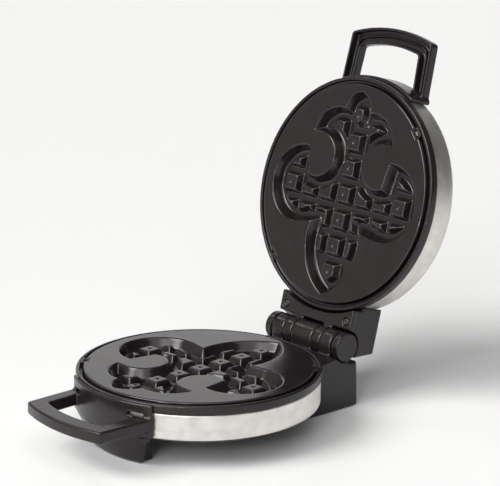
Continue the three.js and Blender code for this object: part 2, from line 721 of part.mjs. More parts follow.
for (const side of [-1, 1]) {
  const place = side < 0 ? 'left' : 'right';
  const front = post(side * 24, -92, 5, 0, 3, 20);
  addSolid(base, `foot_pad_front_${place}`, front, 'rubber');
  const rear = post(side * PAD_REAR.x, PAD_REAR.y - 4, 5, 0, 1.7, 20);
  addSolid(base, `foot_pad_rear_${place}`, rear, 'rubber');
}

// ---------------------------------------------------------------- hinge pin and caps

addSolid(base, 'hinge_pin', rod(HINGE_Y, HINGE_Z, PIN_R, -PIN_HALF, PIN_HALF, 20), 'bareSteel');

const CAP_INNER_X = BARREL_HALF + 0.4;
for (const side of [-1, 1]) {
  const place = side < 0 ? 'left' : 'right';
  const profile = [
    [0, CAP_OUTER_X],
    [BARREL_R - 1, CAP_OUTER_X],
    [BARREL_R, CAP_OUTER_X - 1],
    [BARREL_R, CAP_INNER_X + 2],
    [BARREL_R - 1.5, CAP_INNER_X + 1.5],
    [BARREL_R - 1.5, CAP_INNER_X],
    [PIN_R + GAP, CAP_INNER_X],
    [PIN_R + GAP, PIN_HALF + GAP],
    [0, PIN_HALF + GAP],
  ];
  const cap = turned(profile, 32).rotateY(side * Math.PI / 2).translate(0, HINGE_Y, HINGE_Z);
  add(base, `hinge_cap_${place}`, cap, 'satinBlack');
}

// ---------------------------------------------------------------- lid bracket

const BRACKET_LOW_Z = DECK_Z - 0.5;
const BRACKET_TOP_Z = DECK_Z + 39;
const SCREW = { x: 42, y: 119.4, headR: 3.2, shankR: 1.5, shankTopZ: BRACKET_LOW_Z + 12 };

const bracketProfile = [
  [98, BRACKET_LOW_Z],
  [130, BRACKET_LOW_Z],
  [140, HINGE_Z + 4],
  [154, DECK_Z + 9],
  [147.9, BRACKET_TOP_Z],
  [98, BRACKET_TOP_Z],
];
const armProfile = [
  [126.6, BRACKET_LOW_Z],
  [HINGE_Y, HINGE_Z - 4],
  [HINGE_Y + BARREL_R, HINGE_Z],
  [154, DECK_Z + 9],
  [150, DECK_Z + 28],
  [126.6, DECK_Z + 28],
];

function lidBracket() {
  const body = profileAcross(bracketProfile, -BLOCK_HALF, BLOCK_HALF);
  const clearance = rod(HINGE_Y, HINGE_Z, BRACKET_BORE_R, -BLOCK_HALF - 1, BLOCK_HALF + 1);
  const bandTools = [
    bandTool(DECK_Z - 10, DECK_Z + 60),
    post(0, 0, 117.2, DECK_Z - 10, LID_Z + BEZEL_HEIGHT + GAP),
  ];
  const arms = [-1, 1].flatMap((side) => {
    const inner = side * (ARM_INNER_X + 0.4);
    const outer = side * (ARM_OUTER_X - 0.4);
    const [xLow, xHigh] = [inner, outer].sort((a, b) => a - b);
    return [
      profileAcross(armProfile, xLow, xHigh),
      rod(HINGE_Y, HINGE_Z, BARREL_R, xLow, xHigh),
    ];
  });
  const pinHole = rod(HINGE_Y, HINGE_Z, PIN_R + GAP, -60, 60, 20);
  const hollow = block(-44, 44, 124, 141, DECK_Z + 22, BRACKET_TOP_Z - 2.5);
  const screwTools = [-1, 1].flatMap((side) => [
    post(side * SCREW.x, SCREW.y, SCREW.headR + 0.5, BRACKET_LOW_Z - 1, BRACKET_LOW_Z + 2.2, 16),
    post(side * SCREW.x, SCREW.y, SCREW.shankR + GAP, BRACKET_LOW_Z, SCREW.shankTopZ + GAP, 12),
  ]);
  const hollowMouth = block(-44, 44, 100, 125, DECK_Z + 22, BRACKET_TOP_Z - 2.5);
  const whole = joined([cutBy(body, [clearance]), ...arms]);
  return cutBy(whole, [...bandTools, pinHole, hollow, hollowMouth, ...screwTools]);
}

addSolid(lid, 'lid_hinge_bracket', lidBracket(), 'satinBlack');

for (const side of [-1, 1]) {
  const place = side < 0 ? 'left' : 'right';
  const headTopZ = BRACKET_LOW_Z + 1.9;
  const head = post(side * SCREW.x, SCREW.y, SCREW.headR, BRACKET_LOW_Z + 0.2, headTopZ, 16);
  const shank = post(side * SCREW.x, SCREW.y, SCREW.shankR, headTopZ - 0.2, SCREW.shankTopZ, 12);
  addSolid(lid, `bracket_screw_${place}`, head.add(shank), 'bareSteel');
}

// ---------------------------------------------------------------- frame

// The origin is the bottom centre of the whole object as it stands open.
group.updateMatrixWorld(true);
const whole = new THREE.Box3().setFromObject(group, true);
group.position.y = -(whole.min.y + whole.max.y) / 2;
group.updateMatrixWorld(true);

export default group;
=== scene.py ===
import json
import math

import bpy
import numpy as np
from mathutils import Matrix, Vector


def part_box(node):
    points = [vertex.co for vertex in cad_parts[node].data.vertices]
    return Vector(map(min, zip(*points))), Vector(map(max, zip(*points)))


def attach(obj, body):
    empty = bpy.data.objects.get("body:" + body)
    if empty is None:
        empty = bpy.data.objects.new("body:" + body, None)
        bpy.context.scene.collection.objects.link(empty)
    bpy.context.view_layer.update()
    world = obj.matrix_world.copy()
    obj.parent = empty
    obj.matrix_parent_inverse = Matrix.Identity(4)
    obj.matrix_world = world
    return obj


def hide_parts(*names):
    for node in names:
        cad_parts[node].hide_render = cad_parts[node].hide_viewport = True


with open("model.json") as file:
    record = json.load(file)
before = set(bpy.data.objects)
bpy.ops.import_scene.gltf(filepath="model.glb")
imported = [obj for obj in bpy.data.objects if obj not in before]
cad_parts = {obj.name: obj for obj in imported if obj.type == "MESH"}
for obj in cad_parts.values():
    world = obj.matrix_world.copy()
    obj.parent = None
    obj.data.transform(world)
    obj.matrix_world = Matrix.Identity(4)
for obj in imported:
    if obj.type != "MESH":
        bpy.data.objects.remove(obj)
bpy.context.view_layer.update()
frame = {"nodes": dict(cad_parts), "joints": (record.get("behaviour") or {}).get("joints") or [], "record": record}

# ---------------------------------------------------------------- places and sizes, from the frame

MM = 0.001


def low(node):
    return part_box(node)[0] / MM


def high(node):
    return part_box(node)[1] / MM


joint = frame["joints"][0]
hinge = Vector(joint["pos_m"])
open_angle = math.radians(joint["range_deg"][1])
axis_y = (low("lower_plate").y + high("lower_plate").y) / 2
BASE = Matrix.Translation((0, axis_y * MM, 0))
TURN = Matrix.Rotation(-open_angle, 4, "X")
LID = Matrix.Translation(hinge) @ TURN @ Matrix.Translation(-hinge) @ BASE
PLACES = {"base": BASE, "lid": LID}

GAP = 0.3
LID_GAP = 2.5
DECK = high("lower_bezel").z
LID_DECK = DECK + LID_GAP
HINGE_Y = hinge.y / MM - axis_y
HINGE_Z = hinge.z / MM
BEZEL_R = high("lower_bezel").x
BEZEL_DEEP = DECK - low("lower_bezel").z
BORE_R = 108.2
BAND_R = high("lower_steel_band").x
CLEAR_R = BAND_R + 0.6              # what stands round a housing stays outside this
BAND_LOW = low("lower_steel_band").z
BAND_TOP = high("lower_steel_band").z
FLOOR_Z = low("base_cover").z
HARD_Z = low("front_foot").z
FACE_PROUD = high("lower_plate").z - DECK
PLATE_R = high("lower_plate").x
MOULD_DEEP = 10
LID_SUM = DECK + LID_DECK            # a height h on the base is this less h on the shut lid

# ---------------------------------------------------------------- distances to simple solids
# Each is negative inside and works on arrays that broadcast to the whole grid.


def meet(a, b, r=0.0):
    """What lies in both, with its new edges rounded to radius r."""
    if np.ndim(r) == 0 and r == 0:
        return np.maximum(a, b)
    corner = np.hypot(np.maximum(a + r, 0), np.maximum(b + r, 0))
    return np.minimum(np.maximum(a, b), -r) + corner


def join(a, b, r=0.0):
    """What lies in either, with a fillet of radius r between them."""
    return -meet(-a, -b, r)


def cut(a, tool, r=0.0):
    return meet(a, -tool, r)


def between(v, v_low, v_high):
    return np.abs(v - (v_low + v_high) / 2) - (v_high - v_low) / 2


def brick(x, y, z, xs, ys, zs, r=0.0):
    flat = meet(between(x, *xs), between(y, *ys), r)
    return meet(flat, between(z, *zs), r)


def polygon(u, v, corners):
    """Distance to a flat outline of any shape."""
    nearest = np.inf
    inside = False
    for (u0, v0), (u1, v1) in zip(corners, corners[1:] + corners[:1]):
        du, dv = u1 - u0, v1 - v0
        along = np.clip(((u - u0) * du + (v - v0) * dv) / (du * du + dv * dv), 0, 1)
        nearest = np.minimum(nearest, np.hypot(u - u0 - along * du, v - v0 - along * dv))
        if dv != 0:
            spans = (v0 > v) != (v1 > v)
            inside = inside ^ (spans & (u < u0 + (v - v0) * du / dv))
    return np.where(inside, -nearest, nearest)


# ---------------------------------------------------------------- from distances to a mesh


def softened(grid, passes):
    """Blurs a distance grid slightly, which rounds the solid's edges."""
    for axis in [0, 1, 2] * passes:
        count = grid.shape[axis]
        sides = [(1, 1) if a == axis else (0, 0) for a in range(3)]
        wide = np.pad(grid, sides, mode="edge")
        before = np.take(wide, range(count), axis)
        after = np.take(wide, range(2, count + 2), axis)
        grid = (before + 2 * grid + after) / 4
    return grid


def sampled(grid, at):
    """The grid's values between its own points, by linear steps."""
    base = np.clip(np.floor(at).astype(int), 0, np.array(grid.shape) - 2)
    part = at - base
    value = np.zeros(len(at))
    for corner in np.ndindex(2, 2, 2):
        weight = np.prod(np.where(corner, part, 1 - part), axis=1)
        value += weight * grid[tuple((base + corner).T)]
    return value


FARTHEST = 0.4                      # steps that a corner may move to reach the surface


def skin(grid):
    """Corners, outward normals and quads of the surface where a distance grid is zero."""
    cells = np.array(grid.shape) - 1
    total = int(np.prod(cells))
    sums = np.zeros((3, total))
    hits = np.zeros(total)
    quads = []
    for a in range(3):
        b, c = (a + 1) % 3, (a + 2) % 3
        first = np.take(grid, range(grid.shape[a] - 1), a)
        second = np.take(grid, range(1, grid.shape[a]), a)
        index = np.argwhere((first < 0) != (second < 0))
        here, there = first[tuple(index.T)], second[tuple(index.T)]
        point = index.astype(float)
        point[:, a] += here / (here - there)
        ring = []
        for step_b, step_c in ((-1, -1), (0, -1), (0, 0), (-1, 0)):
            cell = index.copy()
            cell[:, b] += step_b
            cell[:, c] += step_c
            flat = np.ravel_multi_index(tuple(cell.T), cells)
            ring.append(flat)
            hits += np.bincount(flat, minlength=total)
            for k in range(3):
                sums[k] += np.bincount(flat, point[:, k], total)
        ring = np.stack(ring, 1)
        ring[here > 0] = ring[here > 0][:, ::-1]
        quads.append(ring)
    used = np.flatnonzero(hits)
    number = np.zeros(total, int)
    number[used] = np.arange(len(used))
    corners = (sums[:, used] / hits[used]).T
    slopes = np.gradient(grid)
    for _ in range(2):
        slope = np.stack([sampled(g, corners) for g in slopes], 1)
        square = np.maximum((slope ** 2).sum(1), 1e-6)
        move = -sampled(grid, corners)[:, None] * slope / square[:, None]
        corners += np.clip(move, -FARTHEST, FARTHEST)
    slope = np.stack([sampled(g, corners) for g in slopes], 1)
    normals = slope / np.maximum(np.linalg.norm(slope, axis=1), 1e-6)[:, None]
    return corners, normals, number[np.concatenate(quads)]


MARGIN = 2.5                        # steps of the grid that lie outside the box
LOW_MARGIN = 2.37                   # the same on its low side, so that no face lies on a point


def grid_of(field, corner_low, corner_high, step, passes):
    low_corner = np.array(corner_low, float) - LOW_MARGIN * step
    span = np.array(corner_high) + MARGIN * step - low_corner
    counts = np.ceil(span / step).astype(int) + 1
    x, y, z = (low_corner[k] + step * np.arange(counts[k]) for k in range(3))
    values = field(x[:, None, None], y[None, :, None], z[None, None, :])
    grid = np.array(np.broadcast_to(values, counts), float)
    return softened(grid, passes), low_corner


def finished(name, corners, faces, normals, material, body, nodes):
    """Makes the object, puts it in its place and lets it ride on its body."""
    mesh = bpy.data.meshes.new(name)
    mesh.from_pydata((np.asarray(corners) * MM).tolist(), [], faces)
    mesh.polygons.foreach_set("use_smooth", [True] * len(mesh.polygons))
    mesh.normals_split_custom_set_from_vertices(np.asarray(normals).tolist())
    mesh.materials.append(material)
    piece = bpy.data.objects.new(name, mesh)
    bpy.context.scene.collection.objects.link(piece)
    piece.matrix_world = PLACES[body]
    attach(piece, body)
    if nodes:
        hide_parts(*nodes)
    return piece


def moulded(name, field, box, step, material, body, nodes, passes=1):
    """A piece whose surface is where field is zero, inside box = (x, y, z) ranges."""
    corner_low, corner_high = zip(*box)
    grid, origin = grid_of(field, corner_low, corner_high, step, passes)
    corners, normals, quads = skin(grid)
    corners = corners * step + origin
    return finished(name, corners, quads.tolist(), normals, material, body, nodes)


# ---------------------------------------------------------------- turned pieces


ARC_POINTS = 6                      # along the rounding of each corner


def rounded(profile, ring):
    """Points and normals along a profile of (radius, height, corner radius), counterclockwise."""
    points, normals = [], []
    count = len(profile)
    for i, (r, z, bend) in enumerate(profile):
        if not ring and i in (0, count - 1):
            other = profile[1] if i == 0 else profile[-2]
            edge = (np.array(other[:2]) - (r, z)) * (1 if i == 0 else -1)
            points.append((r, z))
            normals.append(np.array((edge[1], -edge[0])) / np.linalg.norm(edge))
            continue
        here = np.array((r, z), float)
        into = here - profile[i - 1][:2]
        out = np.array(profile[(i + 1) % count][:2]) - here
        into, out = into / np.linalg.norm(into), out / np.linalg.norm(out)
        start, end = np.array((into[1], -into[0])), np.array((out[1], -out[0]))
        turn = into[0] * out[1] - into[1] * out[0]
        half = math.acos(max(-1.0, min(1.0, float(into @ out)))) / 2
        sense = 1 if turn > 0 else -1
        middle = (start + end) / np.linalg.norm(start + end)
        centre = here - sense * middle * bend / math.cos(half)
        for t in np.linspace(0, 1, ARC_POINTS):
            normal = start * (1 - t) + end * t
            normal /= np.linalg.norm(normal)
            points.append(tuple(centre + sense * bend * normal))
            normals.append(normal)
    return points, normals


def turned(profile, ring, around=192):
    """Corners, faces and normals of a piece turned about the Z axis."""
    points, flats = rounded(profile, ring)
    corners, normals, faces, rows = [], [], [], []
    turns = [2 * math.pi * j / around for j in range(around)]
    for (r, z), (nr, nz) in zip(points, flats):
        if r < 1e-6:
            rows.append([len(corners)] * around)
            corners.append((0, 0, z))
            normals.append((0, 0, math.copysign(1, nz)))
            continue
        rows.append(list(range(len(corners), len(corners) + around)))
        corners += [(r * math.cos(t), r * math.sin(t), z) for t in turns]
        normals += [(nr * math.cos(t), nr * math.sin(t), nz) for t in turns]
    pairs = list(zip(rows, rows[1:] + rows[:1])) if ring else list(zip(rows, rows[1:]))
    for below, above in pairs:
        for j in range(around):
            k = (j + 1) % around
            loop = [below[j], below[k], above[k], above[j]]
            faces.append(list(dict.fromkeys(loop)))
    return np.array(corners), faces, np.array(normals)


def turned_over(profile):
    """The same profile on the shut lid, still counterclockwise."""
    return [(r, LID_SUM - z, bend) for r, z, bend in reversed(profile)]


def lathe(name, profile, ring, material, body, nodes, around=192):
    corners, faces, normals = turned(profile, ring, around)
    return finished(name, corners, faces, normals, material, body, nodes)


# ---------------------------------------------------------------- materials


def add_node(tree, kind, settings=None, **inputs):
    """A node with its settings and inputs: a socket is linked and a plain value is set."""
    made = tree.nodes.new("ShaderNode" + kind)
    for key, value in (settings or {}).items():
        setattr(made, key, value)
    for key, value in inputs.items():
        socket = made.inputs[key.replace("_", " ")]
        if isinstance(value, bpy.types.NodeSocket):
            tree.links.new(value, socket)
        else:
            socket.default_value = value
    return made


def noise(tree, place, size_mm, detail=2.0, stretch=(1, 1, 1)):
    """Noise whose patches are about size_mm across, drawn out along an axis by stretch."""
    scale = [1 / (size_mm * MM * s) for s in stretch]
    mapped = add_node(tree, "Mapping", {"vector_type": "POINT"}, Vector=place, Scale=scale)
    made = add_node(
        tree, "TexNoise", Vector=mapped.outputs["Vector"], Scale=1.0, Detail=detail
    )
    return made.outputs["Fac"]


def ranged(tree, value, in_low, in_high, out_low, out_high):
    made = add_node(
        tree, "MapRange", None, Value=value, From_Min=in_low, From_Max=in_high,
        To_Min=out_low, To_Max=out_high,
    )
    return made.outputs["Result"]


def maths(tree, operation, a, b):
    made = tree.nodes.new("ShaderNodeMath")
    made.operation = operation
    for socket, value in zip(made.inputs, (a, b)):
        if isinstance(value, bpy.types.NodeSocket):
            tree.links.new(value, socket)
        else:
            socket.default_value = value
    return made.outputs["Value"]


def blended(tree, share, first, second):
    """Mixes two colours, each a socket or three numbers."""
    made = tree.nodes.new("ShaderNodeMix")
    made.data_type = "RGBA"
    tree.links.new(share, made.inputs["Factor"])
    for name, value in (("A", first), ("B", second)):
        socket = next(s for s in made.inputs if s.name == name and s.type == "RGBA")
        if isinstance(value, bpy.types.NodeSocket):
            tree.links.new(value, socket)
        else:
            socket.default_value = (*value, 1)
    return next(s for s in made.outputs if s.type == "RGBA")


EDGE_POLISH = 0.12                  # how much smoother a fully worn edge is
PATCH_SHARE = 0.6                   # of the mottling, the rest being grain
GLOSS_SWING = 0.06                  # how far roughness strays either way
SHADE_SPAN = (0.35, 0.65)           # of the mottling, from its dark shade to its light one
GLOSS_SPAN = (0.3, 0.7)
WORN_SPAN = (0.52, 0.62)            # pointiness from an edge that is whole to one that is worn


def surface(name, colour, rough, **look):
    """A moulded, cast or drawn surface: mottled colour, patchy gloss, fine grain and worn edges.

    look may give metallic, mottle (share of colour change), patch and grain (sizes in mm),
    relief (depth of the grain in mm), stretch, edge (colour of a worn edge) and constants.
    """
    mat = bpy.data.materials.new(name)
    mat.use_nodes = True
    tree = mat.node_tree
    shader = tree.nodes["Principled BSDF"]
    place = tree.nodes.new("ShaderNodeTexCoord").outputs["Object"]
    stretch = look.get("stretch", (1, 1, 1))
    patch = noise(tree, place, look.get("patch", 30), 4.0)
    grain = noise(tree, place, look.get("grain", 0.8), 2.0, stretch)
    mottle = look.get("mottle", 0.15)
    dark = [c * (1 - mottle) for c in colour]
    light = [c * (1 + mottle) for c in colour]
    broad = maths(tree, "MULTIPLY", patch, PATCH_SHARE)
    fine = maths(tree, "MULTIPLY", grain, 1 - PATCH_SHARE)
    mixed = maths(tree, "ADD", broad, fine)
    shade = blended(tree, ranged(tree, mixed, *SHADE_SPAN, 0, 1), dark, light)
    gloss = ranged(tree, mixed, *GLOSS_SPAN, rough - GLOSS_SWING, rough + GLOSS_SWING)
    point = tree.nodes.new("ShaderNodeNewGeometry").outputs["Pointiness"]
    edge = ranged(tree, point, *WORN_SPAN, 0, look.get("wear", 0.5))
    shade = blended(tree, edge, shade, look.get("edge", light))
    tree.links.new(shade, shader.inputs["Base Color"])
    polish = maths(tree, "MULTIPLY", edge, EDGE_POLISH)
    tree.links.new(maths(tree, "SUBTRACT", gloss, polish), shader.inputs["Roughness"])
    bump = add_node(
        tree, "Bump", None, Height=grain, Strength=look.get("strength", 0.5),
        Distance=look.get("relief", 0.03) * MM,
    )
    tree.links.new(bump.outputs["Normal"], shader.inputs["Normal"])
    shader.inputs["Metallic"].default_value = look.get("metallic", 0.0)
    for key, value in look.get("constants", {}).items():
        shader.inputs[key].default_value = value
    return mat


PLASTIC = surface(
    "satin_black_plastic", (0.012, 0.0088, 0.0092), 0.27, grain=0.7, relief=0.02,
    mottle=0.2, edge=(0.04, 0.04, 0.04), wear=0.25, constants={"Specular IOR Level": 0.4},
)
PLATE = surface(
    "non_stick_coat", (0.0095, 0.0064, 0.0068), 0.2, grain=0.9, relief=0.02, patch=18,
    mottle=0.18, edge=(0.12, 0.115, 0.11), wear=0.8,
)
STEEL = surface(
    "brushed_steel", (0.725, 0.70, 0.675), 0.41, grain=0.45, stretch=(150, 150, 1), relief=0.006,
    patch=12, mottle=0.14, metallic=1.0, wear=0.0, constants={"Anisotropic": 0.4},
)
BARE = surface(
    "bare_steel", (0.42, 0.42, 0.43), 0.38, grain=0.5, relief=0.02, metallic=1.0, mottle=0.15,
)
# Bare steel painted dark for the screws: painted shade of the wells they sit in.
SHADED_SCREW_STEEL = surface(
    "screw_steel_painted_shade", (0.10, 0.097, 0.093), 0.34, grain=0.4, relief=0.01, metallic=1.0,
    edge=(0.3, 0.3, 0.3),
)
TIN = surface(
    "tin_plate", (0.62, 0.63, 0.64), 0.3, grain=0.6, stretch=(1, 40, 1), relief=0.01, metallic=1.0,
)
RUBBER = surface("rubber", (0.016, 0.016, 0.016), 0.75, grain=0.5, relief=0.06, mottle=0.2)
CERAMIC = surface("steatite", (0.74, 0.70, 0.62), 0.6, grain=0.4, relief=0.04, mottle=0.08)
RED = surface(
    "red_lamp", (0.5, 0.02, 0.015), 0.12, grain=2.0, relief=0.01, constants={"Coat Weight": 0.6},
)
GREEN = surface(
    "green_lamp", (0.03, 0.34, 0.06), 0.12, grain=2.0, relief=0.01, constants={"Coat Weight": 0.6},
)
SLOT_FINISH = {
    "satin_black": PLASTIC, "non_stick": PLATE, "brushed_steel": STEEL, "bare_steel": BARE,
    "tin_plate": TIN, "rubber": RUBBER, "ceramic": CERAMIC, "red_lens": RED, "green_lens": GREEN,
}

# ---------------------------------------------------------------- cooking plates

PITCH_X = 24.8
PITCH_Y = 25.8
ROW_SHIFT = 1
LEAF_PEG_Y = -62.5
PEG_FOOT = 10.1
PEG_HEAD = 7.1
PEG_HIGH = 7
DRAFT = 0.5
VALLEY = 4.8                        # from the foot of the mould's wall to the pegs
SCRAP = 90                          # smaller pieces of a cut peg are left out, in cubic mm
PEG_SPAN = 5                        # more columns or rows than there are on either side
PEG_ROUND = 0.5
PEG_FILLET = 0.7
PIP_R = 1.35                        # the small ejector dimple on top of each peg
PIP_DEEP = 0.9
LIP_ROUND = 0.8                     # where the face turns down into the mould
MOULD_FILLET = 1.6
PLATE_ROUND = 1.1
PLATE_FLOOR = 2.9                   # metal under the mould
PLATE_STEP = 0.86
FLAT_WITHIN = 0.05                  # of the lowest corner, for a quad of the underside


def disc(x, y, cx, cy, r):
    return np.hypot(x - cx, y - cy) - r


def half_plane(x, y, start, end):
    """Distance past a straight line, negative on the left of the way from start to end."""
    run, rise = end[0] - start[0], end[1] - start[1]
    return ((x - start[0]) * rise - (y - start[1]) * run) / math.hypot(run, rise)


def convex(x, y, corners):
    """Distance outside a convex outline given counterclockwise."""
    edges = zip(corners, corners[1:] + corners[:1])
    return np.maximum.reduce([half_plane(x, y, a, b) for a, b in edges])


def lily(x, y, inward=0.0):
    """Distance outside the mould's outline once that has moved inward by so much.

    The outline is the same on both sides of its stem. Where its arcs meet, the land between
    them keeps a sharp corner at the face and gets a rounder one the further it is moved.
    """
    side = np.abs(x)
    petal = disc(side, y, -23.3, 47, 58.8)
    shoulder = convex(side, y, [(52.4, 37.2), (-15, 25.4), (-15, -20), (56, -20), (59, -0.4)])
    shoulder = np.minimum(shoulder, disc(side, y, 59, -0.4, 38.2))
    stem = np.maximum(side - 23, between(y, -70, 20))
    leaf = disc(side, y, 22.5, -51.5, 30.7)
    tail = disc(side, y, -5, -79, 22.5)
    filled = petal + inward
    for shape in (shoulder, stem, leaf, tail):
        filled = join(filled, shape + inward, inward)
    tip, foot = (50.5, -12.3), (57.35, -54.6)
    round_land = np.maximum(disc(side, y, 41.5, -32.5, 22.3), half_plane(side, y, foot, tip))
    land = convex(side, y, [tip, (41.5, -12.3), (41.5, -54.6), foot])
    return np.maximum(filled, inward - np.minimum(round_land, land))


def nearest_peg(x, y):
    """Column and row of the nearest peg, and its middle; each tail leaf has one, between rows."""
    column = np.round(x / PITCH_X)
    row = np.round((y - ROW_SHIFT) / PITCH_Y)
    in_leaf = (np.abs(column) == 1) & (row < -1)
    row = np.where(in_leaf, -3, row)
    middle_y = np.where(in_leaf, LEAF_PEG_Y, row * PITCH_Y + ROW_SHIFT)
    return column + 0 * row, row, column * PITCH_X, middle_y


CLIP_TURNS = [math.radians(45), math.radians(222)]
CLIP_HALF = 5.8
CLIP_REACH = (104.3, 111.5)


def clip_places(x, y, z, z_low):
    """The pockets of both plate clips above a height, as one distance."""
    found = np.inf
    for turn in CLIP_TURNS:
        out = x * math.cos(turn) + y * math.sin(turn)
        across = y * math.cos(turn) - x * math.sin(turn)
        spot = np.maximum(between(out, *CLIP_REACH), np.abs(across) - CLIP_HALF)
        found = np.minimum(found, np.maximum(spot, z_low - z))
    return found


def plate_field(x, y, z):
    """Cooking plate with its face at height 0."""
    slope = math.hypot(1, DRAFT)
    wall = lily(x, y, -DRAFT * np.minimum(z, 0)) / slope
    cavity = meet(wall, -(z + MOULD_DEEP), MOULD_FILLET)
    depth = between(z, -MOULD_DEEP - PLATE_FLOOR, 0)
    blank = meet(np.hypot(x, y) - PLATE_R, depth, PLATE_ROUND)
    shell = cut(blank, cavity, LIP_ROUND)

    column, row, px, py = nearest_peg(x, y)
    lean = (PEG_FOOT - PEG_HEAD) / PEG_HIGH
    half = PEG_FOOT - lean * (z + MOULD_DEEP)
    side_x = (np.abs(x - px) - half) / math.hypot(1, lean)
    side_y = (np.abs(y - py) - half) / math.hypot(1, lean)
    set_in = DRAFT * MOULD_DEEP + VALLEY + DRAFT * (z + MOULD_DEEP)
    ground = lily(x, y, set_in) / slope
    top = z + MOULD_DEEP - PEG_HIGH
    peg = meet(meet(side_x, side_y, PEG_ROUND), meet(ground, top, PEG_ROUND), PEG_ROUND)
    peg = np.maximum(peg, -(z + MOULD_DEEP + 1))

    step = x[1, 0, 0] - x[0, 0, 0]
    solid = ((peg < 0) & (z > -MOULD_DEEP)).sum(axis=2) * step ** 3
    place = (column[:, :, 0].astype(int) + PEG_SPAN, row[:, :, 0].astype(int) + PEG_SPAN)
    volume = np.zeros((2 * PEG_SPAN + 1, 2 * PEG_SPAN + 1))
    np.add.at(volume, place, solid)
    kept = (volume > SCRAP)[place][:, :, None]
    peg = np.where(kept, peg, MOULD_DEEP)
    shell = join(shell, peg, PEG_FILLET)

    centre_inside = lily(px, py) + set_in.max() < 0
    pip = np.maximum(np.hypot(x - px, y - py) - PIP_R, np.abs(top) - PIP_DEEP)
    pip = np.where(centre_inside & kept, pip, MOULD_DEEP)
    shell = cut(shell, pip, 0.4)
    return cut(shell, clip_places(x, y, z, -5), 0.4)


def plate(name, body, face_z, flipped):
    """Skin of the mould, with the flat underside closed by one fan of faces."""
    reach = PLATE_R + 1
    box = [(-reach, -reach, -MOULD_DEEP - PLATE_FLOOR - 0.1), (reach, reach, 0)]
    grid, origin = grid_of(plate_field, *box, PLATE_STEP, 0)
    corners, normals, quads = skin(grid)
    corners = corners * PLATE_STEP + origin
    lowest = corners[:, 2].min()
    underside = (corners[quads, 2] < lowest + FLAT_WITHIN).all(axis=1)
    quads = quads[~underside]
    edges = np.concatenate([quads[:, [k, (k + 1) % 4]] for k in range(4)])
    pairs = {(a, b) for a, b in edges.tolist()}
    faces = quads.tolist() + [
        [b, a, len(corners)] for a, b in sorted(pairs) if (b, a) not in pairs
    ]
    corners = np.vstack([corners, (0, 0, lowest)])
    normals = np.vstack([normals, (0, 0, -1)])
    used = np.unique(np.concatenate([np.asarray(f) for f in faces]))
    number = np.zeros(len(corners), int)
    number[used] = np.arange(len(used))
    faces = [number[f].tolist() for f in faces]
    corners, normals = corners[used], normals[used]
    if flipped:
        corners[:, [0, 2]] *= -1
        normals[:, [0, 2]] *= -1
    corners[:, 2] += face_z
    node = name.replace("_cast", "")
    return finished(name, corners, faces, normals, PLATE, body, [node])


plate("lower_plate_cast", "base", DECK + FACE_PROUD, False)
plate("lid_plate_cast", "lid", LID_DECK - FACE_PROUD, True)

# ---------------------------------------------------------------- bezels, bands and covers

STEP_R = 111.4
STEP_DEEP = 3.4
RIM_LINE = (112.7, 113.3)


def bezel_field(x, y, z):
    """The base's bezel: a flat rim, a step down beside the plate, and notches for the clips."""
    rho = np.hypot(x, y)
    ring = meet(between(rho, BORE_R, BEZEL_R), between(z, DECK - BEZEL_DEEP, DECK), 1.0)
    step = np.maximum(rho - STEP_R, DECK - STEP_DEEP - z)
    ring = cut(ring, step, 0.5)
    line = np.maximum(between(rho, *RIM_LINE), DECK - 0.5 - z)
    ring = cut(ring, line)
    return cut(ring, clip_places(x, y, z, DECK - 3.8), 0.3)


def turned_field(field):
    """The same field on the shut lid, turned over about the Y axis."""
    return lambda x, y, z: field(-x, y, LID_SUM - z)


ring_box = (-BEZEL_R, BEZEL_R)
moulded(
    "lower_bezel_ring", bezel_field, [ring_box, ring_box, (DECK - BEZEL_DEEP, DECK)], 0.8,
    PLASTIC, "base", ["lower_bezel"],
)
moulded(
    "lid_bezel_ring", turned_field(bezel_field),
    [ring_box, ring_box, (LID_DECK, LID_DECK + BEZEL_DEEP)], 0.8,
    PLASTIC, "lid", ["lid_bezel"],
)

band = [
    (BAND_R - 1, BAND_LOW, 0.2),
    (BAND_R - 0.7, BAND_LOW, 0.25),
    (BAND_R, BAND_LOW + 1.6, 1.0),
    (BAND_R, BAND_TOP - 0.9, 0.6),
    (BAND_R - 0.3, BAND_TOP, 0.2),
    (BAND_R - 1, BAND_TOP, 0.2),
]
lathe("lower_band", band, True, STEEL, "base", ["lower_steel_band"])
lathe("lid_band", turned_over(band), True, STEEL, "lid", ["lid_steel_band"])

cover_r = BAND_R - 1 - GAP
base_shell = [
    (0, FLOOR_Z, 0),
    (62, FLOOR_Z, 0.6),
    (63, FLOOR_Z + 1, 0.6),
    (66, FLOOR_Z + 1, 0.6),
    (67, FLOOR_Z, 0.6),
    (96, FLOOR_Z, 5),
    (107.5, FLOOR_Z + 2.6, 5),
    (cover_r, BAND_LOW, 1.2),
    (cover_r, BAND_TOP - 2, 0.5),
    (cover_r - 2, BAND_TOP - 2, 0.5),
    (cover_r - 2, BAND_LOW + 0.6, 1.5),
    (96, FLOOR_Z + 2, 3),
    (0, FLOOR_Z + 2, 0),
]
lathe("base_shell", base_shell, False, PLASTIC, "base", ["base_cover"])

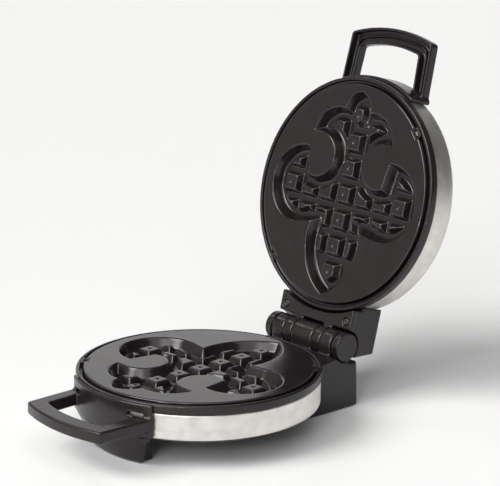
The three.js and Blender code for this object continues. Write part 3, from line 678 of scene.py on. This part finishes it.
crown = LID_SUM - BAND_LOW + 8
lid_band_top = LID_SUM - BAND_LOW
lid_shell = [
    (0, crown - 2.4, 0),
    (92, crown - 5, 4),
    (cover_r - 2, lid_band_top, 1.5),
    (cover_r - 2, lid_band_top - 18, 0.5),
    (cover_r, lid_band_top - 18, 0.5),
    (cover_r, lid_band_top + GAP, 0.1),
    (112.6, lid_band_top + GAP, 0.3),
    (111.8, lid_band_top + 1.6, 1.2),
    (108, crown - 5, 3),
    (98, crown - 3.3, 0.8),
    (96.6, crown - 4.1, 0.5),
    (95, crown - 4.0, 0.5),
    (93.6, crown - 2.8, 0.8),
    (60, crown - 1, 40),
    (0, crown, 0),
]
lathe("lid_shell", lid_shell, False, PLASTIC, "lid", ["lid_cover"])

# ---------------------------------------------------------------- handles

LOOP_R = 167.2
LOOP_HOLE_R = 150.2
LOOP_TIP = (53.8, -158.3)
LOOP_HOLE_TIP = (39, -145)
LOOP_FLARE = 0.035
LOOP_HOLE_FLARE = 0.055
RIM = 2.6                           # wall left round the channel
CHANNEL = 8
SHROUD_R = 118
SHROUD_INNER_R = 112
SHROUD_TURN = math.radians(29)
SLOT_ACROSS = (34, 49)              # a vent slot in each side of the lower shroud


def handle_field(top, thick, shroud_low, shroud_top, bezel_low, slots):
    """A loop handle with a channel in its underside, on a shroud round the housing.

    Above bezel_low the shroud is cut clear of the bezel, so an infinite one cuts nothing.
    """
    bottom = top - thick

    def field(x, y, z):
        rho = np.hypot(x, y)
        side = np.abs(x)
        outer_arm = side - LOOP_TIP[0] - (y - LOOP_TIP[1]) * LOOP_FLARE
        hole_arm = side - LOOP_HOLE_TIP[0] - (y - LOOP_HOLE_TIP[1]) * LOOP_HOLE_FLARE
        outer = meet(rho - LOOP_R, outer_arm, 2.4)
        hole = meet(rho - LOOP_HOLE_R, hole_arm, 2.0)
        ribbon = np.maximum(outer, -hole)
        loop = meet(np.maximum(ribbon, 114 - rho), between(z, bottom, top), 1.5)
        channel = np.maximum(ribbon + RIM, SHROUD_R + 1.6 - rho)
        loop = cut(loop, np.maximum(channel, z - bottom - CHANNEL), 0.7)
        rib = np.maximum(np.abs(outer + hole) / 2 - 0.7, SHROUD_R - rho)
        rib = meet(np.maximum(rib, ribbon), between(z, bottom + 3.4, top - 1), 0.5)
        loop = np.minimum(loop, rib)
        ends = side * math.cos(SHROUD_TURN) + y * math.sin(SHROUD_TURN)
        shroud = meet(meet(rho - SHROUD_R, ends, 1.2), between(z, shroud_low, shroud_top), 1.3)
        shroud = np.maximum(shroud, SHROUD_INNER_R - rho)
        whole = join(loop, shroud, 2.6)
        if slots:
            slot = np.maximum(between(side, *SLOT_ACROSS), between(z, top + 0.6, top + 4))
            whole = cut(whole, slot, 0.5)
        whole = np.maximum(whole, CLEAR_R - rho)
        beside_bezel = np.maximum(rho - BEZEL_R - 0.6, bezel_low - z)
        return cut(whole, beside_bezel)

    return field


shroud_box = [(-59, 59), (-LOOP_R, -98)]
HANDLE_TOP = DECK - 13.7
HANDLE_THICK = 11.2
SHROUD_TOP = DECK - 0.8
moulded(
    "lower_loop_handle",
    handle_field(HANDLE_TOP, HANDLE_THICK, BAND_LOW + GAP, SHROUD_TOP, BAND_TOP, True),
    [*shroud_box, (BAND_LOW, DECK)], 0.8, PLASTIC, "base", ["lower_handle"],
)
LID_HANDLE_TOP = DECK + 37.7
lid_shroud_low = LID_DECK + BEZEL_DEEP + GAP
moulded(
    "lid_loop_handle",
    handle_field(
        LID_HANDLE_TOP, HANDLE_THICK, lid_shroud_low, LID_HANDLE_TOP + 0.8, math.inf, False
    ),
    [*shroud_box, (lid_shroud_low, LID_HANDLE_TOP + 1)], 0.8,
    PLASTIC, "lid", ["lid_handle"],
)

# ---------------------------------------------------------------- front foot

FOOT_TOP_R = 117
FOOT_TOE_R = 105
SEAT_Z = FLOOR_Z - GAP
PAD = (24, -92)


def foot_field(x, y, z):
    """A tapered skirt under the front of the housing, with a shelf, a sole and three webs."""
    rho = np.hypot(x, y)
    side = np.abs(x)
    slope = (FOOT_TOP_R - FOOT_TOE_R) / (BAND_LOW - HARD_Z)
    cone = (rho - FOOT_TOE_R - slope * (z - HARD_Z)) / math.hypot(1, slope)
    view = [(-35.7, 0), (35.7, 0), (46.2, 23), (55, 31), (-55, 31), (-46.2, 23)]
    skirt = meet(np.maximum(cone, -cone - 4), polygon(x, z, view), 1.0)
    skirt = np.maximum(skirt, y + 50)
    shelf = brick(x, y, z, (-34, 34), (-112, -84), (SEAT_Z - 3, SEAT_Z), 0.8)
    sole = brick(x, y, z, (-34, 34), (-101, -84), (HARD_Z, HARD_Z + 5), 0.8)
    web = brick(x, y, z, (-2, 2), (-108, -84), (HARD_Z, SEAT_Z), 0.8)
    end = brick(side, y, z, (31, 34), (-101, -84), (HARD_Z, SEAT_Z), 0.8)
    inner = join(join(shelf, sole, 1), join(web, end, 1), 1)
    whole = join(skirt, np.maximum(inner, cone + 1), 1.0)
    whole = meet(whole, HARD_Z - z, 0.5)
    flare = (BAND_R - 97) / (BAND_LOW - 0.4 - SEAT_Z)
    cover = (rho - 97 - GAP - flare * (z - SEAT_Z)) / math.hypot(1, flare)
    whole = cut(whole, np.maximum(cover, SEAT_Z - z))
    whole = cut(whole, np.maximum(rho - CLEAR_R, BAND_LOW - 0.5 - z))
    pad = np.maximum(np.hypot(side - PAD[0], y - PAD[1]) - 5.3, z - 3.3)
    return cut(np.maximum(whole, z - BAND_LOW), pad, 0.3)


moulded(
    "front_foot_skirt", foot_field, [(-56, 56), (-117, -83), (HARD_Z, BAND_LOW)], 0.9,
    PLASTIC, "base", ["front_foot"],
)

# ---------------------------------------------------------------- hinge

BARREL_R = 14
BARREL_HALF = 41
ARM_NEAR = 14
ARM_FAR = 26
HALF_WIDE = high("hinge_block").x
REAR_Y = 160
SHOULDER_Z = DECK - 17
PIN_HOLE = 4.3
GLAND_Z = 18
BLOCK_SIDE = [
    (92, HARD_Z), (REAR_Y, HARD_Z), (REAR_Y - 2, SHOULDER_Z), (147.6, SHOULDER_Z),
    (HINGE_Y - BARREL_R, DECK - 8.1), (101, DECK - 11.3), (101, 16), (99, 8), (95.5, 3),
]
WEB_SIDE = [
    (HINGE_Y - BARREL_R, SHOULDER_Z - 3), (147.6, SHOULDER_Z - 3), (147.6, HINGE_Z - 13),
    (HINGE_Y, HINGE_Z), (HINGE_Y - BARREL_R, HINGE_Z),
]


def block_field(x, y, z):
    """The housing that stands behind the base and carries the middle and end knuckles."""
    side = np.abs(x)
    rho = np.hypot(x, y)
    hub = np.hypot(y - HINGE_Y, z - HINGE_Z)
    body = meet(polygon(y, z, BLOCK_SIDE), side - HALF_WIDE, 1.4)
    web = meet(polygon(y, z, WEB_SIDE), side - BARREL_HALF, 1.0)
    barrel = meet(hub - BARREL_R, side - BARREL_HALF, 0.8)
    stop = brick(x, y, z, (-38, 38), (153, 157.4), (SHOULDER_Z - 3, HINGE_Z - 14.4), 0.9)
    whole = join(join(body, join(web, barrel, 0.8), 1.2), stop, 0.8)
    ends = np.maximum(hub - BARREL_R - 0.5, BARREL_HALF - side)
    slots = np.maximum(hub - BARREL_R - 1, between(side, ARM_NEAR, ARM_FAR))
    whole = cut(cut(whole, ends, 0.4), slots, 0.6)
    whole = cut(whole, hub - PIN_HOLE)
    inside = brick(x, y, z, (-47, 47), (104, REAR_Y - 5), (-9, SHOULDER_Z - 3), 1.5)
    whole = cut(whole, inside, 0.4)
    whole = cut(whole, np.maximum(rho - CLEAR_R, FLOOR_Z - 0.4 - z), 0.3)
    gland = np.maximum(np.hypot(x, z - GLAND_Z) - 5.8, REAR_Y - 12 - y)
    return cut(whole, gland, 0.4)


moulded(
    "hinge_housing", block_field,
    [(-HALF_WIDE, HALF_WIDE), (92, REAR_Y), (HARD_Z, HINGE_Z + BARREL_R)], 1.0,
    PLASTIC, "base", ["hinge_block"],
)

BRACKET_LOW = DECK - 0.5
BRACKET_TOP = DECK + 39
BRACKET_SIDE = [
    (98, BRACKET_LOW), (130, BRACKET_LOW), (140, HINGE_Z + 4), (154, DECK + 9),
    (147.9, BRACKET_TOP), (98, BRACKET_TOP),
]
ARM_SIDE = [
    (126.6, BRACKET_LOW), (HINGE_Y, HINGE_Z - 4), (HINGE_Y + BARREL_R, HINGE_Z),
    (154, DECK + 9), (150, DECK + 28), (126.6, DECK + 28),
]
BRACKET_BORE_R = 16.2               # room for the barrel to turn in
GROOVE_DEEP = 0.5
GROOVE_AT = (DECK + 6, DECK + 6.8)  # a thin line round the bracket's ends
SCREW = (42, 119.4)


def bracket_field(x, y, z):
    """The lid's half of the hinge: a wide bracket behind the bezel and two knuckle arms."""
    side = np.abs(x)
    rho = np.hypot(x, y)
    hub = np.hypot(y - HINGE_Y, z - HINGE_Z)
    body = meet(polygon(y, z, BRACKET_SIDE), side - HALF_WIDE, 1.4)
    body = cut(body, hub - BRACKET_BORE_R, 0.6)
    across = between(side, ARM_NEAR + 0.4, ARM_FAR - 0.4)
    arms = meet(np.minimum(polygon(y, z, ARM_SIDE), hub - BARREL_R), across, 0.7)
    whole = cut(join(body, arms, 1.2), hub - PIN_HOLE)
    whole = cut(whole, rho - CLEAR_R, 0.3)
    whole = cut(whole, np.maximum(rho - 117.2, z - lid_shroud_low), 0.5)
    hollow = brick(x, y, z, (-44, 44), (90, 141), (DECK + 22, BRACKET_TOP - 2.5), 1.5)
    whole = cut(whole, hollow, 0.4)
    well = np.hypot(side - SCREW[0], y - SCREW[1])
    whole = cut(whole, np.maximum(well - 3.8, z - BRACKET_LOW - 2.2), 0.4)
    shallow = between(side, HALF_WIDE - GROOVE_DEEP, HALF_WIDE + 1)
    return cut(whole, np.maximum(shallow, between(z, *GROOVE_AT)))


moulded(
    "lid_bracket", bracket_field,
    [(-HALF_WIDE, HALF_WIDE), (98, HINGE_Y + BARREL_R), (HINGE_Z - BARREL_R, BRACKET_TOP)], 0.9,
    PLASTIC, "lid", ["lid_hinge_bracket"],
)


def set_about(name, shape, matrix, material, body, nodes):
    """A turned shape put in its place by a matrix in millimetres."""
    corners, faces, normals = shape
    turn = np.array(matrix)
    corners = corners @ turn[:3, :3].T + turn[:3, 3]
    normals = normals @ turn[:3, :3].T
    return finished(name, corners, faces, normals, material, body, nodes)


CAP_NEAR = BARREL_HALF + 0.4
CAP_FAR = high("hinge_cap_right").x
cap_profile = [
    (0, CAP_FAR - 3.7, 0),
    (PIN_HOLE, CAP_FAR - 3.7, 0.2),
    (PIN_HOLE, CAP_NEAR, 0.2),
    (BARREL_R - 1.6, CAP_NEAR, 0.2),
    (BARREL_R - 1.6, CAP_NEAR + 1.5, 0.3),
    (BARREL_R, CAP_NEAR + 1.8, 0.4),
    (BARREL_R, CAP_FAR, 1.3),
    (0, CAP_FAR, 0),
]
for side, word in ((-1, "left"), (1, "right")):
    place = Matrix.Translation((0, HINGE_Y, HINGE_Z)) @ Matrix.Rotation(side * math.pi / 2, 4, "Y")
    cap = turned(cap_profile, False, 96)
    set_about(
        f"hinge_cap_{word}_turned", cap, place, PLASTIC, "base", [f"hinge_cap_{word}"]
    )

# ---------------------------------------------------------------- small fittings


def screw_field(x, y, z):
    """Pan head with a cross recess, lying with its face at height 0 and its shank above."""
    rho = np.hypot(x, y)
    head = meet(rho - 3.2, between(z, 0, 1.7), 0.6)
    shank = meet(rho - 1.5, between(z, 1, 11.8), 0.3)
    along_x = np.maximum(np.abs(y) - 0.45, np.abs(x) - 1.9)
    along_y = np.maximum(np.abs(x) - 0.45, np.abs(y) - 1.9)
    recess = np.maximum(np.minimum(np.minimum(along_x, along_y), rho - 0.9), z - 1.1)
    return cut(join(head, shank, 0.3), recess, 0.15)


SCREW_STEP = 0.22
for side, word in ((-1, "left"), (1, "right")):
    grid, origin = grid_of(screw_field, (-3.3, -3.3, 0), (3.3, 3.3, 12), SCREW_STEP, 1)
    corners, normals, quads = skin(grid)
    corners = corners * SCREW_STEP + origin + (side * SCREW[0], SCREW[1], BRACKET_LOW + 0.2)
    # the screws get the steel with painted shade from their wells
    finished(
        f"bracket_screw_{word}_cross", corners, quads.tolist(), normals, SHADED_SCREW_STEEL, "lid",
        [f"bracket_screw_{word}"],
    )


def clip_field(angle, z_face):
    """A sprung plate clip: a sloping tongue in a small frame, in the gap beside the plate."""
    def field(x, y, z):
        out = x * math.cos(angle) + y * math.sin(angle)
        across = y * math.cos(angle) - x * math.sin(angle)
        frame_block = brick(out, across, z, (104.6, 111.2), (-5.5, 5.5), (z_face - 3.2, z_face), 0.5)
        pocket = brick(out, across, z, (105.4, 109.6), (-3.4, 3.4), (z_face - 2.2, z_face + 3), 0.3)
        tongue = brick(out, across, z, (106.0, 108.6), (-2.6, 2.6), (z_face - 3, z_face - 0.2), 0.5)
        slope = (z - z_face + 0.2 + (out - 106) * 0.55) / 1.14
        return np.minimum(cut(frame_block, pocket, 0.3), np.maximum(tongue, slope))
    return field


for word, angle in zip(("rear", "front"), CLIP_TURNS):
    middle = (108 * math.cos(angle), 108 * math.sin(angle))
    box = [(middle[0] - 7, middle[0] + 7), (middle[1] - 7, middle[1] + 7), (DECK - 2.9, DECK + 0.5)]
    field = clip_field(angle, DECK + 0.4)
    moulded(
        f"lower_clip_{word}_tongue", field, box, 0.3, PLASTIC, "base",
        [f"lower_clip_{word}"],
    )
    box = [(-middle[0] - 7, -middle[0] + 7), box[1], (LID_DECK - 0.5, LID_DECK + 2.9)]
    moulded(
        f"lid_clip_{word}_tongue", turned_field(field), box, 0.3, PLASTIC, "lid",
        [f"lid_clip_{word}"],
    )

LAMPS = {"power": (-13, RED, "red_lens"), "ready": (13, GREEN, "green_lens")}
LAMP_Y = -82
lamp_z = crown - 2.2
lens = [
    (0, lamp_z - 3, 0),
    (4.0, lamp_z - 3, 0.3),
    (4.0, lamp_z + 0.6, 0.5),
    (2.4, lamp_z + 1.3, 2),
    (0, lamp_z + 1.5, 0),
]
collar = [
    (4.15, lamp_z - 1.6, 0.1),
    (6.2, lamp_z - 1.6, 0.1),
    (6.2, lamp_z + 0.3, 0.4),
    (5.2, lamp_z + 1.0, 0.4),
    (4.15, lamp_z + 0.9, 0.3),
]
for word, (lamp_x, glow, glow_slot) in LAMPS.items():
    place = Matrix.Translation((lamp_x, LAMP_Y, 0))
    dome, rim = turned(lens, False, 48), turned(collar, True, 48)
    set_about(
        f"{word}_lens_dome", dome, place, glow, "lid", [f"{word}_lamp_lens"],
    )
    set_about(f"{word}_lens_collar", rim, place, PLASTIC, "lid", [])

# ---------------------------------------------------------------- finishes of the kept CAD pieces

slot_of = {part["node"]: part["material_slot"] for part in frame["record"]["subparts"]}
for name, cad in frame["nodes"].items():
    cad.data.materials.clear()
    cad.data.materials.append(SLOT_FINISH[slot_of[name]])
    if not cad.hide_render:
        bevel = cad.modifiers.new("edge", "BEVEL")
        bevel.width = 0.35 * MM
        bevel.segments = 2
        bevel.limit_method = "ANGLE"
        bevel.angle_limit = math.radians(50)

# ---------------------------------------------------------------- camera

TARGET = hinge + Vector((46.0, -122.3, 124.1)) * MM
AZIMUTH = math.radians(48.0)
ELEVATION = math.radians(14.79)
ROLL = math.radians(0.51)
DISTANCE = 1743.2 * MM
LENS = 138.56
SENSOR = 36

back = Vector((
    math.sin(AZIMUTH) * math.cos(ELEVATION),
    -math.cos(AZIMUTH) * math.cos(ELEVATION),
    math.sin(ELEVATION),
))
level = Vector((math.cos(AZIMUTH), math.sin(AZIMUTH), 0))
up = back.cross(level)
right = level * math.cos(ROLL) + up * math.sin(ROLL)
top = up * math.cos(ROLL) - level * math.sin(ROLL)
camera = bpy.data.objects.new("camera", bpy.data.cameras.new("camera"))
camera.data.sensor_width = SENSOR
camera.data.lens = LENS
camera.data.clip_end = 50
camera.matrix_world = Matrix((
    (*[v.x for v in (right, top, back)], TARGET.x + back.x * DISTANCE),
    (*[v.y for v in (right, top, back)], TARGET.y + back.y * DISTANCE),
    (*[v.z for v in (right, top, back)], TARGET.z + back.z * DISTANCE),
    (0, 0, 0, 1),
))
scene = bpy.context.scene
scene.collection.objects.link(camera)
scene.camera = camera
scene.view_settings.view_transform = "Standard"

# ---------------------------------------------------------------- floor and light

REACH = 12                          # metres from the middle to each edge
floor_mesh = bpy.data.meshes.new("floor")
floor_mesh.from_pydata(
    [(-REACH, -REACH, 0), (REACH, -REACH, 0), (REACH, REACH, 0), (-REACH, REACH, 0)], [],
    [(0, 1, 2, 3)],
)
floor = bpy.data.objects.new("floor", floor_mesh)
paper = bpy.data.materials.new("paper")
paper.use_nodes = True
paper_shader = paper.node_tree.nodes["Principled BSDF"]
paper_shader.inputs["Base Color"].default_value = (0.83, 0.835, 0.84, 1)
paper_shader.inputs["Roughness"].default_value = 0.9
paper_shader.inputs["Specular IOR Level"].default_value = 0.0
floor_mesh.materials.append(paper)
scene.collection.objects.link(floor)

FILL = 0.12
GLOWS = [
    # where from, how bright, and the cosines over which it grows
    ((-0.74, 0.65, 0.12), 0.95, 0.72, 0.99),
    ((-0.72, -0.69, 0.09), 0.40, 0.75, 1.0),
]

world = bpy.data.worlds.new("studio")
scene.world = world
world.use_nodes = True
studio = world.node_tree
sky = studio.nodes["Background"]
sky.inputs["Color"].default_value = (1, 0.993, 0.98, 1)
toward = studio.nodes.new("ShaderNodeTexCoord").outputs["Generated"]
strength = FILL
for source, amount, least, most in GLOWS:
    side_on = studio.nodes.new("ShaderNodeVectorMath")
    side_on.operation = "DOT_PRODUCT"
    studio.links.new(toward, side_on.inputs[0])
    side_on.inputs[1].default_value = Vector(source).normalized()
    glow = ranged(studio, side_on.outputs["Value"], least, most, 0, amount)
    strength = maths(studio, "ADD", glow, strength)
studio.links.new(strength, sky.inputs["Strength"])


def sun(name, source, strength, spread):
    """A soft sun whose light comes from the direction source; spread is in degrees."""
    data = bpy.data.lights.new(name, "SUN")
    data.energy = strength
    data.angle = math.radians(spread)
    data.color = (1, 0.99, 0.975)
    lamp = bpy.data.objects.new(name, data)
    lamp.rotation_mode = "QUATERNION"
    lamp.rotation_quaternion = (-Vector(source)).to_track_quat("-Z", "Y")
    scene.collection.objects.link(lamp)


sun("key", (-0.2, -0.9, 0.85), 2.55, 34)
sun("fill", (0.5, -0.5, 0.9), 1.1, 60)
sun("left", (-0.72, -0.06, 0.69), 0.12, 8)
sun("front", (0.5, -0.75, 0.42), 0.3, 8)
sun("brow", (0.25, -0.96, 0.1), 0.5, 5)

PANEL_FROM = Vector((0.50, -1.15, 0.70))
PANEL_TO = Vector((0.10, -0.22, 0))
PANEL_SIZE = 0.8
PANEL_POWER = 4
panel = bpy.data.lights.new("panel", "AREA")
panel.energy = PANEL_POWER
panel.size = PANEL_SIZE
panel_lamp = bpy.data.objects.new("panel", panel)
panel_lamp.rotation_mode = "QUATERNION"
panel_lamp.rotation_quaternion = (PANEL_TO - PANEL_FROM).to_track_quat("-Z", "Y")
panel_lamp.location = PANEL_FROM
scene.collection.objects.link(panel_lamp)
